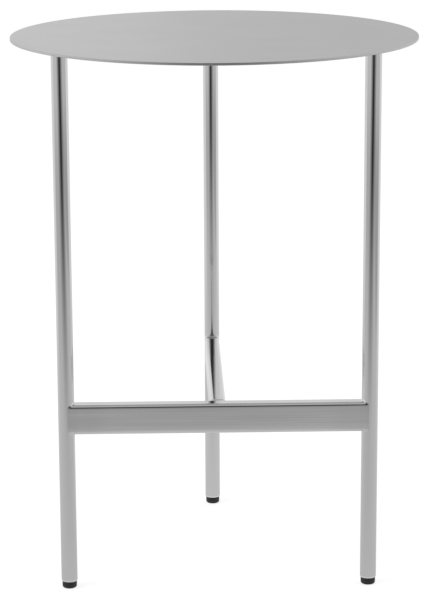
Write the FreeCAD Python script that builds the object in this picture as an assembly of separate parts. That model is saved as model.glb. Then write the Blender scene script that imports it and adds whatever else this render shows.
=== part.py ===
import FreeCAD, Part
import math
import os

# Side table: a thin round steel top on three tube legs, tied low down by a T of
# rectangular tube. The legs and the T are welded into one frame. The top carries three
# spigots on its underside, the frame slides up over them, and a grub screw locks each.
#
# Lengths are in millimetres and angles in degrees. The origin is on the floor under the
# middle of the top, +Z is up, and the two front legs stand on the -Y side.

Vector = FreeCAD.Vector
up = Vector(0, 0, 1)

# Whole table
table_height = 540.0
leg_inset = 20.0  # from the rim of the top in to the outer side of each leg

# Round top, cut from sheet
top_diameter = 400.0
top_thickness = 2.5
top_edge_chamfer = 0.3

# Leg tubes
leg_diameter = 16.0
leg_wall = 1.5
leg_end_chamfer = 0.8  # the cut end is eased where the glide seats

# T-shaped stretcher, rectangular tube on edge
stretcher_top_height = 190.0  # from the floor to its upper face
stretcher_height = 30.0
stretcher_width = 15.0
stretcher_wall = 1.5
stretcher_corner_radius = 3.0  # outside
least_inner_radius = 0.3
weld_gap = 0.1  # root gap at each coped or butted end, closed by the weld
vent_hole_diameter = 5.0  # lets air and plating liquid out of the closed tubes

# Push-in glides
glide_height = 7.2  # what shows under the tube
glide_diameter = 14.5
glide_edge_chamfer = 2.0
glide_stem_length = 20.0
glide_stem_diameter = 11.2
glide_stem_wall = 1.6
glide_rib_count = 6
glide_rib_width = 1.2
glide_rib_lead = 3.0  # length of the slope that starts each rib into the tube
glide_play = 0.1  # radial, between the rib tips and the bore

# Spigots welded under the top
spigot_length = 30.0
spigot_play = 0.1  # radial, inside the leg tube
spigot_lead_in = 1.5
pilot_diameter = 6.0  # short peg that places the spigot for welding
pilot_length = 1.0
pilot_play = 0.05

# Grub screws, wound out of the spigot into a hole in the tube
screw_diameter = 6.0
screw_length = 8.0
screw_end_chamfer = 0.5
screw_recess = 0.3  # from the tube's surface in to the screw's face
screw_thread_play = 0.1  # radial, in the tapped hole
screw_hole_play = 0.2  # radial, in the tube wall
socket_across_flats = 3.0
socket_depth = 3.5

# Where each leg stands, as an angle from +X, and how far its stretcher turns away from
# the line to the middle of the table
legs = {
    "front_left": {"angle": 210.0, "stretcher_turn": -30.0},
    "front_right": {"angle": 330.0, "stretcher_turn": 30.0},
    "rear": {"angle": 90.0, "stretcher_turn": 0.0},
}

# Sizes that follow from the ones above
leg_radius = leg_diameter / 2
leg_circle_radius = top_diameter / 2 - leg_inset - leg_radius
bore_radius = leg_radius - leg_wall
top_underside = table_height - top_thickness
stretcher_middle_height = stretcher_top_height - stretcher_height / 2
front_leg_x = leg_circle_radius * math.cos(math.radians(legs["front_right"]["angle"]))
front_leg_y = leg_circle_radius * math.sin(math.radians(legs["front_right"]["angle"]))
screw_drop = spigot_length / 2  # from the top's underside to the screw's axis


def leg_axis(name, height=0.0):
    """The point on a leg's axis at a height above the floor."""
    angle = math.radians(legs[name]["angle"])
    return Vector(leg_circle_radius * math.cos(angle), leg_circle_radius * math.sin(angle), height)


def stand_at_leg(shape, name):
    """Move a piece made round the Z axis to a leg, with its +X side to the table's middle."""
    placed = shape.copy()
    placed.rotate(Vector(), up, legs[name]["angle"] + 180)
    placed.translate(leg_axis(name))
    return placed


def radial_hole(radius, height, turn=0.0):
    """A cutter from a leg's axis out through the wall on its +X side, turned about Z."""
    direction = Vector(math.cos(math.radians(turn)), math.sin(math.radians(turn)), 0)
    return Part.makeCylinder(radius, leg_diameter, Vector(0, 0, height), direction)


def turned(points):
    """Turn a closed outline, drawn in the XZ plane, once round the Z axis."""
    face = Part.Face(Part.makePolygon(points + points[:1]))
    return face.revolve(Vector(), up, 360)


def rounded_rectangle(width, height, radius):
    """A closed outline in the YZ plane, round the X axis, with round corners."""
    edges = []
    first = None
    last = None
    for corner_angle, side_y, side_z in ((0, 1, 1), (90, -1, 1), (180, -1, -1), (270, 1, -1)):
        centre = Vector(0, side_y * (width / 2 - radius), side_z * (height / 2 - radius))
        start, middle, end = [
            centre + Vector(0, radius * math.cos(math.radians(turn)), radius * math.sin(math.radians(turn)))
            for turn in (corner_angle, corner_angle + 45, corner_angle + 90)
        ]
        if last is not None:
            edges.append(Part.LineSegment(last, start).toShape())
        edges.append(Part.Arc(start, middle, end).toShape())
        first = first or start
        last = end
    edges.append(Part.LineSegment(last, first).toShape())
    return Part.Wire(edges)


def bar_along_x(length, width, height, radius):
    """A solid bar with round corners, centred on the origin."""
    bar = Part.Face(rounded_rectangle(width, height, radius)).extrude(Vector(length, 0, 0))
    bar.translate(Vector(-length / 2, 0, 0))
    return bar


def stretcher_tube(length):
    """Rectangular tube along X, centred on the origin."""
    inner_radius = max(stretcher_corner_radius - stretcher_wall, least_inner_radius)
    outside = bar_along_x(length, stretcher_width, stretcher_height, stretcher_corner_radius)
    inside = bar_along_x(
        length,
        stretcher_width - 2 * stretcher_wall,
        stretcher_height - 2 * stretcher_wall,
        inner_radius,
    )
    return outside.cut(inside)


def cope_cutter(name):
    """The space that a leg takes out of a stretcher's end, with the weld's root gap."""
    return Part.makeCylinder(leg_radius + weld_gap, table_height, leg_axis(name))


def top():
    """The round sheet, its edges broken, with a blind hole for each spigot's pilot."""
    disc = Part.makeCylinder(top_diameter / 2, top_thickness, Vector(0, 0, top_underside))
    rims = [edge for edge in disc.Edges if isinstance(edge.Curve, Part.Circle)]
    disc = disc.makeChamfer(top_edge_chamfer, rims)
    for name in legs:
        pocket_radius = pilot_diameter / 2 + pilot_play
        pocket = Part.makeCylinder(pocket_radius, pilot_length + pilot_play, leg_axis(name, top_underside))
        disc = disc.cut(pocket)
    return disc


def leg(name):
    """One leg tube, standing on its glide and reaching up to the top's underside."""
    length = top_underside - glide_height
    foot = Vector(0, 0, glide_height)
    tube = Part.makeCylinder(leg_radius, length, foot)
    foot_edge = [edge for edge in tube.Edges if edge.BoundBox.ZMax < glide_height + leg_wall]
    tube = tube.makeChamfer(leg_end_chamfer, foot_edge)
    tube = tube.cut(Part.makeCylinder(bore_radius, length, foot))
    screw_hole = radial_hole(screw_diameter / 2 + screw_hole_play, top_underside - screw_drop)
    vent = radial_hole(vent_hole_diameter / 2, stretcher_middle_height, legs[name]["stretcher_turn"])
    return stand_at_leg(tube.cut(screw_hole).cut(vent), name)


def front_stretcher():
    """The bar of the T, coped onto both front legs and vented towards the rear one."""
    bar = stretcher_tube(2 * front_leg_x)
    bar.translate(Vector(0, front_leg_y, stretcher_middle_height))
    for name in ("front_left", "front_right"):
        bar = bar.cut(cope_cutter(name))
    vent = Part.makeCylinder(
        vent_hole_diameter / 2,
        stretcher_width,
        Vector(0, front_leg_y, stretcher_middle_height),
        Vector(0, 1, 0),
    )
    return bar.cut(vent)


def rear_stretcher():
    """The stem of the T, butted on the front bar's back and coped onto the rear leg."""
    length = leg_circle_radius - front_leg_y
    stem = stretcher_tube(length)
    stem.rotate(Vector(), up, 90)
    stem.translate(Vector(0, front_leg_y + length / 2, stretcher_middle_height))
    front_bar_space = bar_along_x(
        2 * front_leg_x,
        stretcher_width + 2 * weld_gap,
        stretcher_height + 2 * weld_gap,
        stretcher_corner_radius + weld_gap,
    )
    front_bar_space.translate(Vector(0, front_leg_y, stretcher_middle_height))
    return stem.cut(front_bar_space).cut(cope_cutter("rear"))


def glide(name):
    """A moulded glide: a button that shows, and a hollow ribbed stem pushed into the tube."""
    stem_top = glide_height + glide_stem_length
    stem_radius = glide_stem_diameter / 2
    rib_reach = math.sqrt((bore_radius - glide_play) ** 2 - (glide_rib_width / 2) ** 2)

    button = Part.makeCylinder(glide_diameter / 2, glide_height)
    floor_edge = [edge for edge in button.Edges if edge.BoundBox.ZMax < glide_height / 2]
    button = button.makeChamfer(glide_edge_chamfer, floor_edge)

    stem_foot = Vector(0, 0, glide_height)
    stem = Part.makeCylinder(stem_radius, glide_stem_length, stem_foot)
    rib_outline = [
        stem_foot,
        Vector(rib_reach, 0, glide_height),
        Vector(rib_reach, 0, stem_top - glide_rib_lead),
        Vector(stem_radius, 0, stem_top),
        Vector(0, 0, stem_top),
        stem_foot,
    ]
    for number in range(glide_rib_count):
        rib = Part.Face(Part.makePolygon(rib_outline)).extrude(Vector(0, glide_rib_width, 0))
        rib.translate(Vector(0, -glide_rib_width / 2, 0))
        rib.rotate(Vector(), up, 360 * number / glide_rib_count)
        stem = stem.fuse(rib)
    hollow = Part.makeCylinder(stem_radius - glide_stem_wall, glide_stem_length, stem_foot)
    return stand_at_leg(button.fuse(stem.cut(hollow)).removeSplitter(), name)


def spigot(name):
    """The turned plug under the top that the leg slides over, tapped across for its screw."""
    radius = bore_radius - spigot_play
    foot = top_underside - spigot_length
    outline = [
        Vector(0, 0, foot),
        Vector(radius - spigot_lead_in, 0, foot),
        Vector(radius, 0, foot + spigot_lead_in),
        Vector(radius, 0, top_underside),
        Vector(pilot_diameter / 2, 0, top_underside),
        Vector(pilot_diameter / 2, 0, top_underside + pilot_length),
        Vector(0, 0, top_underside + pilot_length),
    ]
    tapped_radius = screw_diameter / 2 + screw_thread_play
    tapped_hole = Part.makeCylinder(
        tapped_radius,
        leg_diameter,
        Vector(-leg_radius, 0, top_underside - screw_drop),
        Vector(1, 0, 0),
    )
    return stand_at_leg(turned(outline).cut(tapped_hole), name)


def grub_screw(name):
    """A socket set screw, lying across the spigot with its face just inside the tube's."""
    face_x = leg_radius - screw_recess
    height = top_underside - screw_drop
    screw = Part.makeCylinder(screw_diameter / 2, screw_length, Vector(face_x, 0, height), Vector(-1, 0, 0))
    rims = [edge for edge in screw.Edges if isinstance(edge.Curve, Part.Circle)]
    screw = screw.makeChamfer(screw_end_chamfer, rims)

    corner_radius = socket_across_flats / math.sqrt(3)
    corners = [
        Vector(
            face_x,
            corner_radius * math.cos(math.radians(turn)),
            height + corner_radius * math.sin(math.radians(turn)),
        )
        for turn in range(0, 360, 60)
    ]
    socket = Part.Face(Part.makePolygon(corners + corners[:1])).extrude(Vector(-socket_depth, 0, 0))
    return stand_at_leg(screw.cut(socket), name)


pieces = {
    "round_top": top(),
    "front_stretcher": front_stretcher(),
    "rear_stretcher": rear_stretcher(),
}
for name in legs:
    pieces["leg_tube_" + name] = leg(name)
    pieces["glide_" + name] = glide(name)
    pieces["top_spigot_" + name] = spigot(name)
    pieces["grub_screw_" + name] = grub_screw(name)

os.makedirs("parts", exist_ok=True)
for node, shape in pieces.items():
    shape.exportStep("parts/" + node + ".step")
    print(node, len(shape.Solids), "solid", round(shape.Volume), "mm3", "valid", shape.isValid())
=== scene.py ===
# %% [markdown]
# # A round steel side table
# The table is a thin round sheet on three polished tube legs. A T of rectangular tube ties the
# legs low down, and a black plastic glide closes each leg. The construction comes from the
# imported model, and this lesson gives each piece its finish: grained sheet, polished tube,
# welds that are ground smooth, and moulded plastic.

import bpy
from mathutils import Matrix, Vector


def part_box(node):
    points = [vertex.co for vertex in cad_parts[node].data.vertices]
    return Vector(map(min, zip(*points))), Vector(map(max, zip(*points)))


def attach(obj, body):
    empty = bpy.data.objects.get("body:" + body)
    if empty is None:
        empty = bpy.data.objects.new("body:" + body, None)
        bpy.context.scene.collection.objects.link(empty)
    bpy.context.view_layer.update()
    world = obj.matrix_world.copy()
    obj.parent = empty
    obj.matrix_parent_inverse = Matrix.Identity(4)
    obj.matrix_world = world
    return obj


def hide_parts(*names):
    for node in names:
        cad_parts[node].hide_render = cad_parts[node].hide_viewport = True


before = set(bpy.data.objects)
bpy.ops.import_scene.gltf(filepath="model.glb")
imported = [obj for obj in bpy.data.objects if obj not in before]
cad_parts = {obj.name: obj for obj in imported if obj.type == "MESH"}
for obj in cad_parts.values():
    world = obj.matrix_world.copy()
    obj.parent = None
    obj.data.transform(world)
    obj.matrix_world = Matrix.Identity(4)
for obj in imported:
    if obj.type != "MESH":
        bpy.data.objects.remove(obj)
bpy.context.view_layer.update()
print("pieces in the packed model:", len(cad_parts))

# %% Tools
import math

import bmesh
import bpy
from mathutils import Matrix, Vector

mm = 0.001
print("one millimetre is", mm, "of the scene's metres")

# %% [markdown]
# ## Where the pieces stand
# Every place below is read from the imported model, so nothing has to be fitted by hand. A leg's
# box gives its axis and its two ends, and a bar's box gives its section.

# %% Read the places and sizes
places = ("front_left", "front_right", "rear")


def middle(node_name):
    """The centre of a node's box."""
    low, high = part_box(node_name)
    return (low + high) / 2


def extent(node_name):
    """The size of a node's box along X, Y and Z."""
    low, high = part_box(node_name)
    return high - low


leg_axes = {place: middle("leg_tube_" + place).to_2d() for place in places}
leg_radius = max(extent("leg_tube_rear").to_2d()) / 2
leg_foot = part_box("leg_tube_rear")[0].z
leg_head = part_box("leg_tube_rear")[1].z

bar_width = extent("front_stretcher").y
bar_height = extent("front_stretcher").z
bar_middle = middle("front_stretcher")

top_radius = extent("round_top").y / 2
top_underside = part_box("round_top")[0].z
table_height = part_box("round_top")[1].z
print("leg radius", round(leg_radius / mm, 2), "mm, top radius", round(top_radius / mm, 2), "mm")

# %% [markdown]
# ## The studio
# Polished steel has hardly any colour of its own: what we read as its finish is the room around
# it. So the room comes first. Two helpers do all the work here. One turns a written colour into
# what a shader wants, and the other adds a node, sets it up and links it.

# %% The helpers for colours and nodes


def linear(hex_colour):
    """Turn an sRGB hex colour into the linear values that a shader wants."""
    channels = [int(hex_colour[start:start + 2], 16) / 255 for start in (1, 3, 5)]
    return [c / 12.92 if c <= 0.04045 else ((c + 0.055) / 1.055) ** 2.4 for c in channels] + [1.0]


def add(tree, kind, inputs, **settings):
    """Add one node. An input is a value, a socket, or a node whose first output is linked."""
    node = tree.nodes.new("ShaderNode" + kind)
    for name, value in settings.items():
        setattr(node, name, value)
    for socket, value in inputs.items():
        if isinstance(value, bpy.types.Node):
            value = value.outputs[0]
        if isinstance(value, bpy.types.NodeSocket):
            tree.links.new(value, node.inputs[socket])
        else:
            node.inputs[socket].default_value = value
    return node


# %% [markdown]
# ### The walls and the ceiling
# The camera sees plain white behind the table, but metal sees a room. Its back wall is pale and
# a little brighter at the horizon, each side has a brighter panel, and the ceiling is duller.
# Real walls would stand in the camera's way. Drawn in the sky, from the direction alone, they
# don't, and each tone can be matched to what the tube shows.

# %% Open the sky
scene = bpy.context.scene
scene.view_settings.view_transform = "Standard"
world = bpy.data.worlds.new("studio")
world.use_nodes = True
scene.world = world
sky = world.node_tree

direction = add(sky, "TexCoord", {}).outputs["Generated"]
across, along, height = add(sky, "SeparateXYZ", {0: direction}).outputs
print("sky:", world.name)

# %% The back wall and the side panels
horizon_value = 0.83
back_value = 0.735
back_height = math.sin(math.radians(16))
panel_values = {"left": 1.00, "right": 0.94}
panel_start = 0.35
panel_full = 0.8

walls = add(
    sky, "MapRange",
    {"Value": height, "From Max": back_height, "To Min": horizon_value, "To Max": back_value},
)
for side, sign in (("left", -1), ("right", 1)):
    panel = add(
        sky, "MapRange",
        {"Value": across, "From Min": sign * panel_start, "From Max": sign * panel_full},
        interpolation_type="SMOOTHSTEP",
    )
    walls = add(sky, "Mix", {0: panel, 2: walls, 3: panel_values[side]}, data_type="FLOAT")
print("walls: back", back_value, "and panels", panel_values)

# %% The ceiling
ceiling_value = 0.58
ceiling_start = math.sin(math.radians(20))
ceiling_full = math.sin(math.radians(40))

overhead = add(
    sky, "MapRange", {"Value": height, "From Min": ceiling_start, "From Max": ceiling_full},
    interpolation_type="SMOOTHSTEP",
)
room = add(sky, "Mix", {0: overhead, 2: walls, 3: ceiling_value}, data_type="FLOAT")
print("ceiling:", ceiling_value)

# %% [markdown]
# ### The dark gap at the front
# Nothing lights the room at the front, so the metal sees a gap there. It is darkest near the
# horizon and clears upwards. It could be a black card on a stand, but as a shade in the sky it
# has soft sides and throws no shadow.

# %% The dark gap
gap_edge = math.radians(70)
gap_core = math.radians(14)
gap_low_value = 0.03
gap_high_value = 0.50
gap_clear_start = math.sin(math.radians(13))
gap_clear_full = math.sin(math.radians(34))

aside = add(sky, "Math", {0: across}, operation="ABSOLUTE")
ahead = add(sky, "Math", {0: along, 1: -1.0}, operation="MULTIPLY")
turn = add(sky, "Math", {0: aside, 1: ahead}, operation="ARCTAN2")
gap = add(
    sky, "MapRange", {"Value": turn, "From Min": gap_edge, "From Max": gap_core},
    interpolation_type="SMOOTHSTEP",
)
gap_tone = add(
    sky, "MapRange",
    {
        "Value": height, "From Min": gap_clear_start, "From Max": gap_clear_full,
        "To Min": gap_low_value, "To Max": gap_high_value,
    },
)
room = add(sky, "Mix", {0: gap, 2: room, 3: gap_tone}, data_type="FLOAT")
print("gap:", round(2 * math.degrees(gap_edge)), "degrees from side to side")

# %% [markdown]
# ### What each ray sees of the sky
# Light Path says what kind of ray asks. The camera, and a ray that passes through glass, get
# plain white. Metal gets the room. All other rays carry the soft light on plastic and paper,
# and they get one even strength, so that no side of the table is lit more than it should be.

# %% Light the sky
ambient_strength = 0.75

ray = add(sky, "LightPath", {}).outputs
light = add(
    sky, "Mix", {0: ray["Is Glossy Ray"], 2: ambient_strength, 3: room}, data_type="FLOAT"
)
white = add(
    sky, "Math", {0: ray["Is Camera Ray"], 1: ray["Is Transmission Ray"]}, operation="MAXIMUM"
)
light = add(sky, "Mix", {0: white, 2: light, 3: 1.0}, data_type="FLOAT")
sky.links.new(light.outputs[0], sky.nodes["Background"].inputs["Color"])
print("ambient strength:", ambient_strength)

# %% [markdown]
# ### The floor
# The floor is white paper with the table's faint shadow on it. A large disc with one material
# does for it, and the material measures its own plan, in metres from the middle of the table.

# %% Lay the floor
floor_radius = 9.0
floor_segments = 96

floor_mesh = bmesh.new()
bmesh.ops.create_circle(floor_mesh, cap_ends=True, segments=floor_segments, radius=floor_radius)
floor_data = bpy.data.meshes.new("floor")
floor_mesh.to_mesh(floor_data)
floor_mesh.free()
floor = bpy.data.objects.new("floor", floor_data)
scene.collection.objects.link(floor)

paper = bpy.data.materials.new("white studio paper")
paper.use_nodes = True
floor.data.materials.append(paper)
tree = paper.node_tree
spot = add(tree, "TexCoord", {}).outputs["Object"]
across, along = add(tree, "SeparateXYZ", {0: spot}).outputs[:2]
distance = add(tree, "VectorMath", {0: spot}, operation="LENGTH").outputs["Value"]
print("floor: paper,", 2 * floor_radius, "m across")

# %% [markdown]
# ### The floor as the metal sees it
# A leg mirrors the floor at every distance: its foot looks straight down, and under the top it
# looks far out. So the floor's tone in the metal is drawn over the plan, apart from what the
# camera sees. To the left and the right it starts as a mid grey, darkens a little and turns
# lighter far out. A dark wedge opens towards the front gap and darkens with its distance. That
# wedge is the dark core of each leg: strong under the top and almost gone at the foot. Behind
# the table the floor is brighter.

# %% The open floor on both sides
near_value = 0.625
sides = {
    "left": {"measure": distance, "start": 0.6, "full": 1.4, "value": 0.53, "far_value": 0.68},
    "right": {"measure": across, "start": 0.72, "full": 1.15, "value": 0.43, "far_value": 0.62},
}
far_start = 1.8
far_full = 3.3
seam = 0.1

far = add(
    tree, "MapRange", {"Value": distance, "From Min": far_start, "From Max": far_full},
    interpolation_type="SMOOTHSTEP",
)
halves = {}
for name, side in sides.items():
    half = add(
        tree, "MapRange",
        {
            "Value": side["measure"], "From Min": side["start"], "From Max": side["full"],
            "To Min": near_value, "To Max": side["value"],
        },
        interpolation_type="SMOOTHSTEP",
    )
    halves[name] = add(tree, "Mix", {0: far, 2: half, 3: side["far_value"]}, data_type="FLOAT")
on_right = add(tree, "MapRange", {"Value": across, "From Min": -seam, "From Max": seam})
open_floor = add(
    tree, "Mix", {0: on_right, 2: halves["left"], 3: halves["right"]}, data_type="FLOAT"
)
print("open floor:", near_value, "near the table,", [side["far_value"] for side in sides.values()])

# %% The dark wedge in front
core_angle = math.radians(43)
core_apex = 0.3
core_near_value = 0.575
core_far_value = 0.02
core_start = 0.40
core_end = 2.18
core_power = 2.0

aside = add(tree, "Math", {0: across}, operation="ABSOLUTE")
ahead = add(tree, "Math", {0: along, 1: -1.0}, operation="MULTIPLY")
from_apex = add(tree, "Math", {0: ahead, 1: core_apex}, operation="ADD")
turn = add(tree, "Math", {0: aside, 1: from_apex}, operation="ARCTAN2")
core = add(
    tree, "MapRange", {"Value": turn, "From Min": core_angle, "From Max": 0.0},
    interpolation_type="SMOOTHSTEP",
)
nearness = add(tree, "MapRange", {"Value": ahead, "From Min": core_end, "From Max": core_start})
lift = add(tree, "Math", {0: nearness, 1: core_power}, operation="POWER")
core_tone = add(tree, "Mix", {0: lift, 2: core_far_value, 3: core_near_value}, data_type="FLOAT")
mirrored = add(tree, "Mix", {0: core, 2: open_floor, 3: core_tone}, data_type="FLOAT")
print("wedge:", core_near_value, "near the table and", core_far_value, "from", core_end, "m on")

# %% The brighter floor behind
behind_value = 0.74
far_behind_value = 0.87
bright_start = 0.5
bright_full = 1.2
behind_blend = 0.35

bright = add(
    tree, "MapRange", {"Value": distance, "From Min": bright_start, "From Max": bright_full},
    interpolation_type="SMOOTHSTEP",
)
rear_floor = add(tree, "Mix", {0: bright, 2: behind_value, 3: far_behind_value}, data_type="FLOAT")
behind = add(
    tree, "MapRange", {"Value": along, "From Min": -behind_blend, "From Max": behind_blend},
    interpolation_type="SMOOTHSTEP",
)
mirrored = add(tree, "Mix", {0: behind, 2: mirrored, 3: rear_floor}, data_type="FLOAT")
print("behind:", behind_value, "near the table and", far_behind_value, "from", bright_full, "m on")

# %% [markdown]
# ### What each ray sees of the floor
# The camera sees paper that glows a little, so that it clips to white and keeps the shadow.
# Metal sees the tones drawn above. The soft light comes off plain white paper.

# %% Light the floor
floor_glow = 0.74
floor_paint = "#9E9E9E"
lit_paint = "#E6E6E6"

ray = add(tree, "LightPath", {}).outputs
in_metal = add(tree, "Emission", {"Strength": mirrored})
lit = add(tree, "BsdfDiffuse", {"Color": linear(lit_paint)})
other = add(tree, "MixShader", {0: ray["Is Glossy Ray"], 1: lit, 2: in_metal})
glow = add(tree, "Emission", {"Strength": floor_glow})
matt = add(tree, "BsdfDiffuse", {"Color": linear(floor_paint)})
seen = add(tree, "AddShader", {0: glow, 1: matt})
white = add(
    tree, "Math", {0: ray["Is Camera Ray"], 1: ray["Is Transmission Ray"]}, operation="MAXIMUM"
)
surface = add(tree, "MixShader", {0: white, 1: other, 2: seen})
tree.links.new(surface.outputs[0], tree.nodes["Material Output"].inputs["Surface"])
print("paper glows with", floor_glow)

# %% [markdown]
# ### The lamps
# Two large soft lamps, the key and the fill, give the floor its faint shadows and light the
# plastic. The metal is lit by the room above, so they are kept out of its reflections. A third
# and very weak lamp, the sheen, hangs behind the table on the left. The grained top is the
# piece that shows it, as a soft brightness over its left half.

# %% Hang the lamps
lamps = {
    "key": {"place": (-2.2, -1.0, 2.2), "size": 1.6, "power": 26.0, "in_metal": False},
    "fill": {"place": (2.0, 1.4, 1.8), "size": 1.6, "power": 9.0, "in_metal": False},
    "sheen": {"place": (-0.42, 1.3, 0.98), "size": 0.9, "power": 0.42, "in_metal": True},
}
aim = Vector((0, 0, table_height / 2))
for name, lamp in lamps.items():
    data = bpy.data.lights.new(name, "AREA")
    data.shape = "DISK"
    data.size = lamp["size"]
    data.energy = lamp["power"]
    holder = bpy.data.objects.new(name, data)
    holder.location = lamp["place"]
    holder.rotation_euler = (aim - holder.location).to_track_quat("-Z", "Y").to_euler()
    holder.visible_glossy = lamp["in_metal"]
    scene.collection.objects.link(holder)
print("lamps:", ", ".join(lamps))

# %% [markdown]
# ## The camera
# The photograph was taken with a long lens from a little above the top. The place, the angles
# (in radians) and the lens below were worked out from the rim's ellipse, the leg axes and the
# feet.

# %% Set the camera
camera_place = Vector((-55.92, -2306.97, 837.09)) * mm
camera_yaw = -0.02333
camera_pitch_down = 0.2402
camera_roll = -0.00492
camera_sensor = 36.0
camera_lens = 141.50

camera_data = bpy.data.cameras.new("camera")
camera_data.sensor_width = camera_sensor
camera_data.lens = camera_lens
camera = bpy.data.objects.new("camera", camera_data)
camera.matrix_world = (
    Matrix.Translation(camera_place)
    @ Matrix.Rotation(camera_yaw, 4, "Z")
    @ Matrix.Rotation(math.pi / 2 - camera_pitch_down, 4, "X")
    @ Matrix.Rotation(camera_roll, 4, "Z")
)
scene.collection.objects.link(camera)
scene.camera = camera
print("camera looks down by", round(math.degrees(camera_pitch_down), 1), "degrees")

# %% [markdown]
# ## Finishes
# All the metal is one stainless alloy, and it is the surface treatment that sets the pieces
# apart: the sheet is grained, so it blurs the room into a soft grey, and the tube is polished,
# so it mirrors the room. Each finish starts from one shader, and noise that is stretched along
# one axis draws the marks that its treatment leaves. One noise stays mostly between 0.3 and
# 0.7, and the sum of two between 0.7 and 1.3, so those are the ends of every range below.

# %% The helpers for every finish
noise_low = 0.3
noise_high = 0.7
two_noises_low = 0.7
two_noises_high = 1.3
mark_depth = 0.02 * mm


def new_finish(name, colour, metallic, roughness):
    """A material with one main shader, set to the colour and the middle of the roughness."""
    material = bpy.data.materials.new(name)
    material.use_nodes = True
    tree = material.node_tree
    shader = tree.nodes["Principled BSDF"]
    shader.inputs["Base Color"].default_value = linear(colour)
    shader.inputs["Metallic"].default_value = metallic
    shader.inputs["Roughness"].default_value = sum(roughness) / 2
    return material, tree, shader


def marks(tree, axis, length, width, detail=3.0):
    """Noise whose marks have a length along one axis and a width across it, in metres."""
    place = add(tree, "TexCoord", {}).outputs["Object"]
    scale = [1 / (length if letter == axis else width) for letter in "XYZ"]
    stretched = add(tree, "Mapping", {"Vector": place, "Scale": scale})
    return add(tree, "TexNoise", {"Vector": stretched, "Scale": 1.0, "Detail": detail})


# %% [markdown]
# ### Grained sheet
# The top is stainless sheet with a belt grain: fine scratches all in one direction, each about
# 0.1 mm wide and some centimetres long. To the eye they give a soft grey sheen without an
# image in it. They are drawn 1.2 mm wide, coarser than the real ones, because finer marks
# would not show. Under them lie faint clouds, as large as a hand, where the belt pressed more
# or less. The laser-cut rim is only deburred, so it is a touch duller than the faces.

# %% Grained stainless sheet
sheet_colour = "#CCCCCC"
sheet_tone = (0.97, 1.03)
sheet_roughness = (0.38, 0.46)
sheet_bump = 0.1
grain_length = 60 * mm
grain_width = 1.2 * mm
cloud_length = 90 * mm
cloud_width = 60 * mm
rim_roughness = 0.48
rim_start = 0.4 * mm
rim_full = 0.1 * mm


def grained_sheet():
    """The top's finish: grain along X on the faces, and a duller rim."""
    material, tree, shader = new_finish(
        "grained stainless sheet", sheet_colour, 1.0, sheet_roughness
    )
    grain = marks(tree, "X", grain_length, grain_width)
    cloud = marks(tree, "X", cloud_length, cloud_width, detail=2.0)
    mixed = add(tree, "Math", {0: grain, 1: cloud}, operation="ADD")
    tone = add(
        tree, "MapRange",
        {
            "Value": mixed, "From Min": two_noises_low, "From Max": two_noises_high,
            "To Min": sheet_tone[0], "To Max": sheet_tone[1],
        },
    )
    shade = add(tree, "VectorMath", {0: linear(sheet_colour)[:3], "Scale": tone}, operation="SCALE")
    tree.links.new(shade.outputs[0], shader.inputs["Base Color"])

    face = add(
        tree, "MapRange",
        {
            "Value": grain, "From Min": noise_low, "From Max": noise_high,
            "To Min": sheet_roughness[0], "To Max": sheet_roughness[1],
        },
    )
    place = add(tree, "TexCoord", {}).outputs["Object"]
    flat = add(tree, "VectorMath", {0: place, 1: (1, 1, 0)}, operation="MULTIPLY")
    reach = add(tree, "VectorMath", {0: flat}, operation="LENGTH").outputs["Value"]
    rim = add(
        tree, "MapRange",
        {"Value": reach, "From Min": top_radius - rim_start, "From Max": top_radius - rim_full},
    )
    rough = add(tree, "Mix", {0: rim, 2: face, 3: rim_roughness}, data_type="FLOAT")
    tree.links.new(rough.outputs[0], shader.inputs["Roughness"])
    bump = add(tree, "Bump", {"Strength": sheet_bump, "Distance": mark_depth, "Height": grain})
    tree.links.new(bump.outputs[0], shader.inputs["Normal"])
    return material


sheet_finish = grained_sheet()
print("finish:", sheet_finish.name)

# %% [markdown]
# ### Polished tube
# The legs are drawn tube, polished on a belt and a mop until they mirror the room. What stays
# is a trace of marks along the tube, about 0.2 mm apart. They are drawn 0.8 mm apart so that
# they show. The sawn lower end is only dressed on a belt, so it ends in a band of a little
# over 1 mm that is no mirror. The band's colour is also made lighter, as a painted highlight
# for the soft light that it catches.

# %% Polished tube
steel_colour = "#D8D8D8"
tube_roughness = (0.07, 0.13)
tube_bump = 0.05
tube_mark_length = 60 * mm
tube_mark_width = 0.8 * mm
tube_end_roughness = 0.42
# The end band's lighter colour is a painted highlight; its roughness is the belt-dressed finish.
tube_end_painted_highlight = "#F0F0F0"
tube_end_height = 1.3 * mm
tube_end_fade = 0.6 * mm


def polished_tube():
    """The legs' finish: marks along Z, and a dressed lower end with a painted highlight."""
    material, tree, shader = new_finish(
        "polished stainless tube", steel_colour, 1.0, tube_roughness
    )
    drawn = marks(tree, "Z", tube_mark_length, tube_mark_width)
    skin = add(
        tree, "MapRange",
        {
            "Value": drawn, "From Min": noise_low, "From Max": noise_high,
            "To Min": tube_roughness[0], "To Max": tube_roughness[1],
        },
    )
    place = add(tree, "TexCoord", {}).outputs["Object"]
    height = add(tree, "SeparateXYZ", {0: place}).outputs["Z"]
    dressed = leg_foot + tube_end_height
    end = add(
        tree, "MapRange",
        {"Value": height, "From Min": dressed + tube_end_fade, "From Max": dressed},
    )
    # The lighter colour on the end band is a painted highlight.
    shade = add(
        tree, "Mix", {0: end, 6: linear(steel_colour), 7: linear(tube_end_painted_highlight)}, data_type="RGBA"
    )
    tree.links.new(shade.outputs[2], shader.inputs["Base Color"])
    rough = add(tree, "Mix", {0: end, 2: skin, 3: tube_end_roughness}, data_type="FLOAT")
    tree.links.new(rough.outputs[0], shader.inputs["Roughness"])
    bump = add(tree, "Bump", {"Strength": tube_bump, "Distance": mark_depth, "Height": drawn})
    tree.links.new(bump.outputs[0], shader.inputs["Normal"])
    return material


tube_finish = polished_tube()
print("finish:", tube_finish.name)
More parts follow.
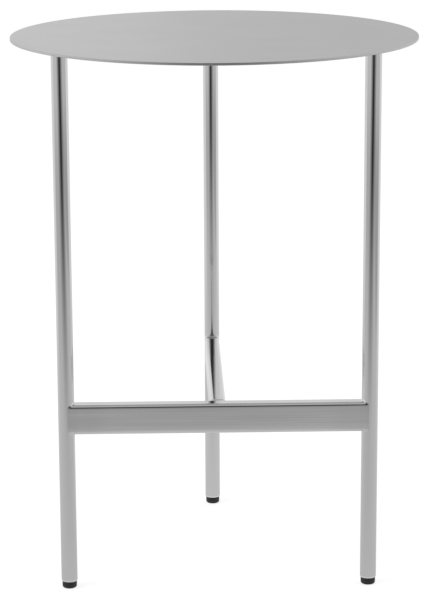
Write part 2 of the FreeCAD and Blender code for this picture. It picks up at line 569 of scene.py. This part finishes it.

# %% [markdown]
# ### Polished rectangular tube
# The bars are polished with the legs, after welding. Their colour is set a little brighter than
# the legs' steel, which is painted light on the same steel. A flat side also shows more than a
# round one: broad, faint waves, some 9 mm wide, over marks that are 0.3 mm wide on the real bar
# and drawn 1.4 mm wide. Where a weld was ground, the mirror is not quite as good: the front
# bar is hazy over the last 5 mm near the legs. The mop hardly reaches the corners of the rear
# bar, so its last 4 mm stay dull. Near the joints the colour is also darker, as painted shade
# where the parts meet: a trace over 40 mm of the front bar, and strongly over the last 4 mm
# of the rear bar.

# %% Polished rectangular tube
# The bars' colour is 1.05 to 1.20 times the legs' steel: the lift is painted light, and the spread
# between the ends follows the marks and waves.
bar_tone_and_painted_light = (1.05, 1.20)
bar_roughness = (0.05, 0.09)
bar_bump = 0.05
bar_mark_length = 90 * mm
bar_mark_width = 1.4 * mm
bar_wave_length = 400 * mm
bar_wave_width = 9 * mm
# Each zone's loss darkens the colour near a joint, as painted shade where the parts meet; its blur
# is a hazier mirror.
front_zones = (
    {"start": 40 * mm, "full": 12 * mm, "painted_shade": 0.06, "blur": 0.0},
    {"start": 5 * mm, "full": 0.0, "painted_shade": 0.0, "blur": 0.12},
)
rear_zones = ({"start": 4 * mm, "full": 0.5 * mm, "painted_shade": 0.28, "blur": 0.25},)


def polished_bar(axis, joints, zones):
    """A bar's finish: marks and waves along one axis, a painted lift in brightness, and a poorer
    mirror and painted shade near its joints.
    """
    material, tree, shader = new_finish(
        "polished bar, marks along " + axis, steel_colour, 1.0, bar_roughness
    )
    fine = marks(tree, axis, bar_mark_length, bar_mark_width)
    broad = marks(tree, axis, bar_wave_length, bar_wave_width, detail=1.0)
    mixed = add(tree, "Math", {0: fine, 1: broad}, operation="ADD")
    tone = add(
        tree, "MapRange",
        {
            "Value": mixed, "From Min": two_noises_low, "From Max": two_noises_high,
            "To Min": bar_tone_and_painted_light[0], "To Max": bar_tone_and_painted_light[1],
        },
    )
    rough = add(
        tree, "MapRange",
        {
            "Value": fine, "From Min": noise_low, "From Max": noise_high,
            "To Min": bar_roughness[0], "To Max": bar_roughness[1],
        },
    )

    spot = add(tree, "TexCoord", {}).outputs["Object"]
    place = add(tree, "SeparateXYZ", {0: spot}).outputs[axis]
    gaps = []
    for joint in joints:
        past = add(tree, "Math", {0: place, 1: joint}, operation="SUBTRACT")
        gaps.append(add(tree, "Math", {0: past}, operation="ABSOLUTE"))
    gap = add(tree, "Math", {0: gaps[0], 1: gaps[1]}, operation="MINIMUM")
    for zone in zones:
        share = add(
            tree, "MapRange", {"Value": gap, "From Min": zone["start"], "From Max": zone["full"]},
            interpolation_type="SMOOTHSTEP",
        )
        # The painted shade near the joint darkens the colour.
        kept = add(tree, "Math", {0: share, 1: -zone["painted_shade"], 2: 1.0}, operation="MULTIPLY_ADD")
        tone = add(tree, "Math", {0: tone, 1: kept}, operation="MULTIPLY")
        rough = add(tree, "Math", {0: share, 1: zone["blur"], 2: rough}, operation="MULTIPLY_ADD")

    shade = add(tree, "VectorMath", {0: linear(steel_colour)[:3], "Scale": tone}, operation="SCALE")
    tree.links.new(shade.outputs[0], shader.inputs["Base Color"])
    tree.links.new(rough.outputs[0], shader.inputs["Roughness"])
    bump = add(tree, "Bump", {"Strength": bar_bump, "Distance": mark_depth, "Height": fine})
    tree.links.new(bump.outputs[0], shader.inputs["Normal"])
    return material


front_joints = (leg_axes["front_left"].x + leg_radius, leg_axes["front_right"].x - leg_radius)
rear_joints = (bar_middle.y + bar_width / 2, leg_axes["rear"].y - leg_radius)
front_bar_finish = polished_bar("X", front_joints, front_zones)
rear_bar_finish = polished_bar("Y", rear_joints, rear_zones)
print("finishes:", front_bar_finish.name, "and", rear_bar_finish.name)

# %% [markdown]
# ### Moulded plastic
# The glides are black polyethylene from a spark-eroded mould. The mould's fine texture, with
# grains of about 0.1 mm, makes the surface half matt. The grains are drawn at 0.4 mm.

# %% Moulded plastic
plastic_colour = "#161616"
plastic_roughness = (0.36, 0.48)
plastic_bump = 0.3
plastic_grain = 0.4 * mm


def moulded_plastic():
    """The glides' finish: black, half matt, with a fine grain."""
    material, tree, shader = new_finish(
        "moulded black polyethylene", plastic_colour, 0.0, plastic_roughness
    )
    grain = marks(tree, "Z", plastic_grain, plastic_grain)
    rough = add(
        tree, "MapRange",
        {
            "Value": grain, "From Min": noise_low, "From Max": noise_high,
            "To Min": plastic_roughness[0], "To Max": plastic_roughness[1],
        },
    )
    tree.links.new(rough.outputs[0], shader.inputs["Roughness"])
    bump = add(tree, "Bump", {"Strength": plastic_bump, "Distance": mark_depth, "Height": grain})
    tree.links.new(bump.outputs[0], shader.inputs["Normal"])
    return material


glide_finish = moulded_plastic()
print("finish:", glide_finish.name)

# %% [markdown]
# ### Turned steel and black oxide
# The spigots come off a lathe, which leaves rings 0.1 mm apart. They are drawn 0.3 mm apart.
# The grub screws have the same rings under a black oxide that only dulls the steel.

# %% Turned steel and black oxide
turned_colour = "#B4B4B2"
turned_roughness = (0.24, 0.36)
oxide_colour = "#2A2A2C"
oxide_roughness = (0.34, 0.46)
turned_bump = 0.3
ring_spacing = 0.3 * mm
ring_length = 8 * mm


def turned_steel(name, colour, roughness):
    """The finish of the parts that hold the top: rings across the axis."""
    material, tree, shader = new_finish(name, colour, 1.0, roughness)
    rings = marks(tree, "Z", ring_spacing, ring_length)
    rough = add(
        tree, "MapRange",
        {
            "Value": rings, "From Min": noise_low, "From Max": noise_high,
            "To Min": roughness[0], "To Max": roughness[1],
        },
    )
    tree.links.new(rough.outputs[0], shader.inputs["Roughness"])
    bump = add(tree, "Bump", {"Strength": turned_bump, "Distance": mark_depth, "Height": rings})
    tree.links.new(bump.outputs[0], shader.inputs["Normal"])
    return material


spigot_finish = turned_steel("turned steel", turned_colour, turned_roughness)
screw_finish = turned_steel("black oxide steel", oxide_colour, oxide_roughness)
print("finishes:", spigot_finish.name, "and", screw_finish.name)

# %% [markdown]
# ## Finishing a piece
# Each mesh ends the same way: doubles merged, faces turned outwards, shading smooth with crisp
# edges kept, the piece tied to the body and given its finish, and the node that it stands for
# hidden.

# %% The helper that ends every piece
crisp_angle = math.radians(32)
merge_distance = 0.002 * mm


def finish_piece(shape, name, material, node_name):
    """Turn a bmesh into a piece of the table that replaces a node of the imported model."""
    bmesh.ops.remove_doubles(shape, verts=shape.verts[:], dist=merge_distance)
    bmesh.ops.recalc_face_normals(shape, faces=shape.faces[:])
    data = bpy.data.meshes.new(name)
    shape.to_mesh(data)
    shape.free()
    data.materials.append(material)
    data.shade_smooth()
    data.set_sharp_from_angle(angle=crisp_angle)
    piece = bpy.data.objects.new(name, data)
    scene.collection.objects.link(piece)
    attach(piece, "root")
    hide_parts(node_name)
    print(name, len(data.polygons), "faces")
    return piece


# %% [markdown]
# ## The round top
# The real one is laser-cut sheet with its edges broken by hand. A filled circle, pushed up by
# the sheet's thickness, makes it, and a small bevel breaks the rim. A narrow inset keeps the
# bevel's shading away from the flat face.

# %% Model the top
top_segments = 256
rim_bevel = 0.3 * mm
rim_inset = 0.6 * mm

disc = bmesh.new()
bmesh.ops.create_circle(disc, cap_ends=True, segments=top_segments, radius=top_radius)
pushed = bmesh.ops.extrude_face_region(disc, geom=disc.faces[:])
raised = [item for item in pushed["geom"] if isinstance(item, bmesh.types.BMVert)]
bmesh.ops.translate(disc, verts=raised, vec=(0, 0, table_height - top_underside))
bmesh.ops.recalc_face_normals(disc, faces=disc.faces[:])
rims = [edge for edge in disc.edges if abs(edge.calc_face_angle(0)) > crisp_angle]
bmesh.ops.bevel(
    disc, geom=rims, affect="EDGES", offset=rim_bevel, segments=3, profile=0.5, material=-1
)
flats = [face for face in disc.faces if len(face.verts) == top_segments]
bmesh.ops.inset_individual(disc, faces=flats, thickness=rim_inset)
bmesh.ops.translate(disc, verts=disc.verts[:], vec=(0, 0, top_underside))
finish_piece(disc, "top_sheet", sheet_finish, "round_top")

# %% [markdown]
# ## The legs
# Each leg is round tube with its lower end eased, so that the glide seats in a soft edge. The
# wall's section is spun once round the leg's axis. A cutter then opens the hole through which
# the grub screw is turned.

# %% A helper that spins a section


def arc(centre_x, centre_z, radius, start, end, steps):
    """Points on an arc of a section, angles in degrees from +X."""
    angles = [math.radians(start + (end - start) * step / steps) for step in range(steps + 1)]
    return [(centre_x + radius * math.cos(a), centre_z + radius * math.sin(a)) for a in angles]


def spin_section(shape, points, steps, closed=True):
    """Spin a section, given as radius and height pairs, once round the vertical axis."""
    verts = [shape.verts.new((radius, 0, height)) for radius, height in points]
    pairs = list(zip(verts, verts[1:]))
    if closed:
        pairs.append((verts[-1], verts[0]))
    edges = [shape.edges.new(pair) for pair in pairs]
    bmesh.ops.spin(
        shape, geom=verts + edges, cent=(0, 0, 0), axis=(0, 0, 1),
        angle=2 * math.pi, steps=steps, use_merge=True,
    )


# %% A helper that cuts a hole


def cut(piece, cutter):
    """Take the cutter's volume out of a piece."""
    data = bpy.data.meshes.new("cutter")
    cutter.to_mesh(data)
    cutter.free()
    tool = bpy.data.objects.new("cutter", data)
    scene.collection.objects.link(tool)
    step = piece.modifiers.new("hole", "BOOLEAN")
    step.operation = "DIFFERENCE"
    step.solver = "EXACT"
    step.object = tool
    graph = bpy.context.evaluated_depsgraph_get()
    result = bpy.data.meshes.new_from_object(piece.evaluated_get(graph))
    piece.modifiers.clear()
    piece.data = result
    piece.data.set_sharp_from_angle(angle=crisp_angle)
    bpy.data.objects.remove(tool)
    bpy.data.meshes.remove(data)


# %% Model the legs
leg_segments = 96
leg_wall = 1.5 * mm
foot_ease = 0.8 * mm
ease_steps = 4
screw_hole_radius = 3.2 * mm
screw_hole_segments = 32
ring_margin = 6 * mm
screw_height = middle("grub_screw_rear").z


def leg(place):
    """One leg: a spun wall with rings of edges around its hole, which a cutter then opens."""
    bore = leg_radius - leg_wall
    low_ring = screw_height - ring_margin
    high_ring = screw_height + ring_margin
    shape = bmesh.new()
    section = arc(leg_radius - foot_ease, leg_foot + foot_ease, foot_ease, -90, 0, ease_steps)
    section += [(leg_radius, low_ring), (leg_radius, high_ring), (leg_radius, leg_head)]
    section += [(bore, leg_head), (bore, high_ring), (bore, low_ring), (bore, leg_foot)]
    spin_section(shape, section, leg_segments)
    axis = leg_axes[place]
    bmesh.ops.translate(shape, verts=shape.verts[:], vec=(axis.x, axis.y, 0))
    piece = finish_piece(shape, "leg_" + place, tube_finish, "leg_tube_" + place)

    cutter = bmesh.new()
    bmesh.ops.create_cone(
        cutter, cap_ends=True, segments=screw_hole_segments, radius1=screw_hole_radius,
        radius2=screw_hole_radius, depth=2 * leg_radius,
    )
    towards_middle = Vector((-axis.x, -axis.y, 0)).normalized()
    turn = Vector((0, 0, 1)).rotation_difference(towards_middle).to_matrix()
    bmesh.ops.rotate(cutter, verts=cutter.verts[:], cent=(0, 0, 0), matrix=turn)
    centre = Vector((axis.x, axis.y, screw_height)) + towards_middle * leg_radius
    bmesh.ops.translate(cutter, verts=cutter.verts[:], vec=centre)
    cut(piece, cutter)


for place in places:
    leg(place)

# %% [markdown]
# ## The bars and their welds
# The T is welded, ground and polished together with the legs, so no seam shows: each bar
# flares into its neighbour with a small hollow curve. A boolean and a bevel would struggle
# with the narrow facets of a leg. So the bar's section is extruded ring by ring, and the last
# rings follow the curve of the weld, from the bar's skin to the leg's.

# %% Draw the bar's section
corner_radius = 3.0 * mm
corner_segments = 8
flat_cuts = 14


def bar_section(shape, width, height):
    """The bar's outline as a ring of edges in the YZ plane, with its points remembered."""
    keep = shape.verts.layers.float_vector.new("section")
    square = bmesh.ops.create_grid(shape, x_segments=1, y_segments=1, size=0.5)
    bmesh.ops.scale(shape, verts=square["verts"], vec=(width, height, 1))
    upright = Matrix(((0, 0, 1), (1, 0, 0), (0, 1, 0)))
    bmesh.ops.rotate(shape, verts=square["verts"], cent=(0, 0, 0), matrix=upright)
    bmesh.ops.bevel(
        shape, geom=shape.verts[:], affect="VERTICES", offset=corner_radius,
        segments=corner_segments, profile=0.5, material=-1,
    )
    bmesh.ops.delete(shape, geom=shape.faces[:], context="FACES_ONLY")
    flats = [edge for edge in shape.edges if edge.calc_length() > 2 * corner_radius]
    bmesh.ops.subdivide_edges(shape, edges=flats, cuts=flat_cuts)
    for vert in shape.verts:
        vert[keep] = vert.co
    return keep


def outward(across, up):
    """The direction out of the bar's skin at a point of its section."""
    flat_width = bar_width / 2 - corner_radius
    flat_height = bar_height / 2 - corner_radius
    inner = Vector((
        max(-flat_width, min(flat_width, across)),
        max(-flat_height, min(flat_height, up)),
    ))
    return (Vector((across, up)) - inner).normalized()


# %% [markdown]
# A weld's curve has three points: where it leaves the bar, the corner that it fills, and where
# it lands on the neighbour. A conic through them is smooth at both ends, so reflections run
# over it without a break. A fourth point tucks the end of the skin into the neighbour.

# %% The curve of a weld
weld_height = 2.0 * mm
weld_side = 1.6 * mm
weld_start = 0.5 * mm


def weld_on_leg(across, up):
    """The curve's points, with X measured from the leg's axis towards the bar."""
    normal = outward(across, up)
    corner_angle = math.asin(across / leg_radius)
    landing_angle = corner_angle + weld_side * normal.x / leg_radius
    landing = Vector((
        leg_radius * math.cos(landing_angle),
        leg_radius * math.sin(landing_angle),
        up + weld_height * normal.y,
    ))
    corner_x = (leg_radius - across * math.sin(landing_angle)) / math.cos(landing_angle)
    corner = Vector((corner_x, across, up))
    start = corner + Vector(((landing - corner).length, 0, 0))
    tucked = Vector((landing.x, landing.y, 0)) * (1 - weld_start / leg_radius)
    tucked.z = landing.z
    return start, corner, landing, tucked


def weld_on_bar(across, up):
    """The same for a bar's back, with X measured from that bar's middle plane."""
    normal = outward(across, up)
    flat_height = bar_height / 2 - corner_radius
    over = max(0.0, abs(up) - flat_height)
    corner_x = bar_width / 2 - corner_radius + math.sqrt(max(0.0, corner_radius ** 2 - over ** 2))
    reach = weld_height * normal.x
    corner = Vector((corner_x, across, up))
    landing = corner + Vector((0, reach, 0))
    start = corner + Vector((max(abs(reach), weld_start), 0, 0))
    tucked = landing + Vector((-weld_start, 0, -math.copysign(weld_start, up)))
    return start, corner, landing, tucked


def conic(start, corner, landing, share):
    """A point on the smooth curve from start to landing, drawn towards the corner."""
    first = corner - start
    second = landing - corner
    turn = first.angle(second, 0.0)
    pull = math.cos(turn / 2)
    a = (1 - share) ** 2
    b = 2 * share * (1 - share) * pull
    c = share ** 2
    return (start * a + corner * b + landing * c) / (a + b + c)


# %% Flare one end of a bar
weld_steps = 10


def flare(shape, ring, keep, weld, to_bar):
    """Extrude the ring of edges along the weld's curve and close it inside the neighbour."""
    for step in range(weld_steps + 2):
        new = bmesh.ops.extrude_edge_only(shape, edges=ring)["geom"]
        ring = [item for item in new if isinstance(item, bmesh.types.BMEdge)]
        for vert in {vert for edge in ring for vert in edge.verts}:
            start, corner, landing, tucked = weld(vert[keep].y, vert[keep].z)
            if step <= weld_steps:
                vert.co = to_bar @ conic(start, corner, landing, step / weld_steps)
            else:
                vert.co = to_bar @ tucked
    bmesh.ops.contextual_create(shape, geom=ring)


def end_at(reach):
    """Turn a weld's X, which runs from the leg's axis to the bar, into the bar's own X."""
    return Matrix(((-1, 0, 0, reach), (0, 1, 0, 0), (0, 0, 1, 0), (0, 0, 0, 1)))


# %% Model the front bar
right_half = bmesh.new()
keep = bar_section(right_half, bar_width, bar_height)
flare(right_half, right_half.edges[:], keep, weld_on_leg, end_at(leg_axes["front_right"].x))
half = right_half.verts[:] + right_half.edges[:] + right_half.faces[:]
bmesh.ops.mirror(right_half, geom=half, axis="X", merge_dist=merge_distance)
to_front = Matrix.Translation((0, bar_middle.y, bar_middle.z))
bmesh.ops.transform(right_half, matrix=to_front, verts=right_half.verts[:])
finish_piece(right_half, "bar_front", front_bar_finish, "front_stretcher")

# %% Model the rear bar
rear_reach = leg_axes["rear"].y - bar_middle.y
rear_shape = bmesh.new()
keep = bar_section(rear_shape, bar_width, bar_height)
bmesh.ops.translate(rear_shape, verts=rear_shape.verts[:], vec=(rear_reach / 2, 0, 0))
middle_ring = rear_shape.edges[:]
flare(rear_shape, middle_ring, keep, weld_on_leg, end_at(rear_reach))
flare(rear_shape, middle_ring, keep, weld_on_bar, Matrix.Identity(4))
to_rear = to_front @ Matrix.Rotation(math.pi / 2, 4, "Z")
bmesh.ops.transform(rear_shape, matrix=to_rear, verts=rear_shape.verts[:])
finish_piece(rear_shape, "bar_rear", rear_bar_finish, "rear_stretcher")

# %% [markdown]
# ## The glides
# A glide is one moulding: a round button that the table stands on, and a hollow stem whose
# ribs grip the bore of the tube. The button and stem are one spun section, and each rib is a
# thin plate with a sloped lead.

# %% Model the glides
glide_segments = 64
button_radius = 7.25 * mm
button_edge = 2.2 * mm
button_edge_steps = 8
button_lip = 0.25 * mm
button_lip_steps = 3
stem_radius = 5.6 * mm
stem_wall = 1.6 * mm
stem_length = 20.0 * mm
rib_count = 6
rib_width = 1.2 * mm
rib_lead = 3.0 * mm
rib_play = 0.1 * mm


def glide(place):
    """One glide: the spun button and stem, and the ribs round the stem."""
    shape = bmesh.new()
    stem_top = leg_foot + stem_length
    stem_bore = stem_radius - stem_wall
    edge_centre = button_radius - button_edge
    section = [(0, 0)] + arc(edge_centre, button_edge, button_edge, -90, 0, button_edge_steps)
    section += arc(
        button_radius - button_lip, leg_foot - button_lip, button_lip, 0, 90, button_lip_steps
    )
    section += [(stem_radius, leg_foot), (stem_radius, stem_top)]
    section += [(stem_bore, stem_top), (stem_bore, leg_foot), (0, leg_foot)]
    spin_section(shape, section, glide_segments, closed=False)

    rib_reach = leg_radius - leg_wall - rib_play
    root = stem_radius - stem_wall / 2
    for number in range(rib_count):
        corners = [
            (root, leg_foot), (rib_reach, leg_foot), (rib_reach, stem_top - rib_lead),
            (stem_radius, stem_top), (root, stem_top),
        ]
        plate = [shape.verts.new((radius, -rib_width / 2, height)) for radius, height in corners]
        face = shape.faces.new(plate)
        pushed = bmesh.ops.extrude_face_region(shape, geom=[face])["geom"]
        moved = [item for item in pushed if isinstance(item, bmesh.types.BMVert)]
        bmesh.ops.translate(shape, verts=moved, vec=(0, rib_width, 0))
        turn = Matrix.Rotation(2 * math.pi * number / rib_count, 3, "Z")
        bmesh.ops.rotate(shape, verts=plate + moved, cent=(0, 0, 0), matrix=turn)

    axis = leg_axes[place]
    bmesh.ops.translate(shape, verts=shape.verts[:], vec=(axis.x, axis.y, 0))
    finish_piece(shape, "foot_" + place, glide_finish, "glide_" + place)


for place in places:
    glide(place)

# %% [markdown]
# ## The parts that hold the top
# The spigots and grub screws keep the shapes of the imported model, because they are right as
# they are. They only get their finishes.

# %% Dress the spigots and screws


def dress(node_name, material):
    """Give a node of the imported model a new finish."""
    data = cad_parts[node_name].data
    data.materials.clear()
    data.materials.append(material)
    print(node_name, "is dressed in", material.name)


for place in places:
    dress("top_spigot_" + place, spigot_finish)
    dress("grub_screw_" + place, screw_finish)
